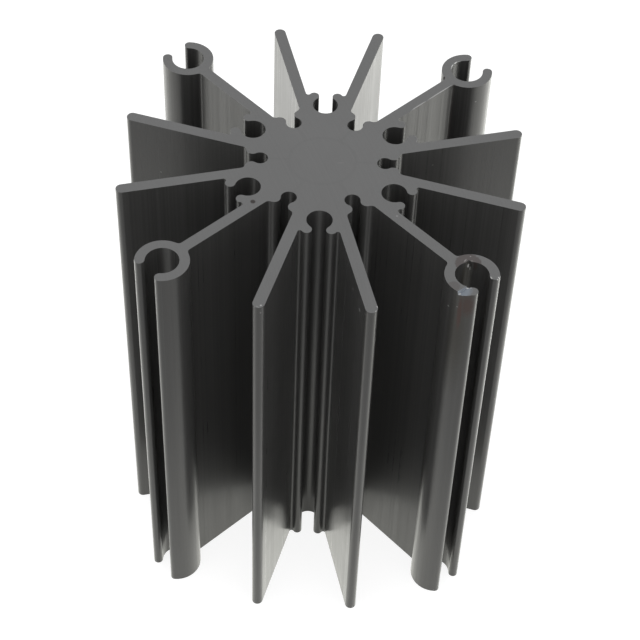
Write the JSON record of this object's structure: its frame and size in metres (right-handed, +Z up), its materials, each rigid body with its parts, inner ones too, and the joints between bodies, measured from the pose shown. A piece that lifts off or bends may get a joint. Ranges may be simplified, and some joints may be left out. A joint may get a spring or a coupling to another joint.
{
  "type": "round heat sink",
  "caption": "Round extruded aluminium heat sink: straight radial fins around a solid hub with key-hole screw channels, and open C-shaped screw bosses at the ends of some fins.",
  "frame": {"origin": "centre of the lower sawn end of the hub, on the surface it stands on", "axes": "+Z up along the extrusion's axis; +X and +Y point into opposite kinds of gap, midway between the bosses"},
  "size_m": [0.0648, 0.0648, 0.08],
  "materials": {
    "anodised_aluminium": "black anodised extrusion with fine lengthwise die lines and matt grey sawn ends"
  },
  "bodies": {
    "root": {"heat_sink": "anodised_aluminium"}
  },
  "joints": []
}
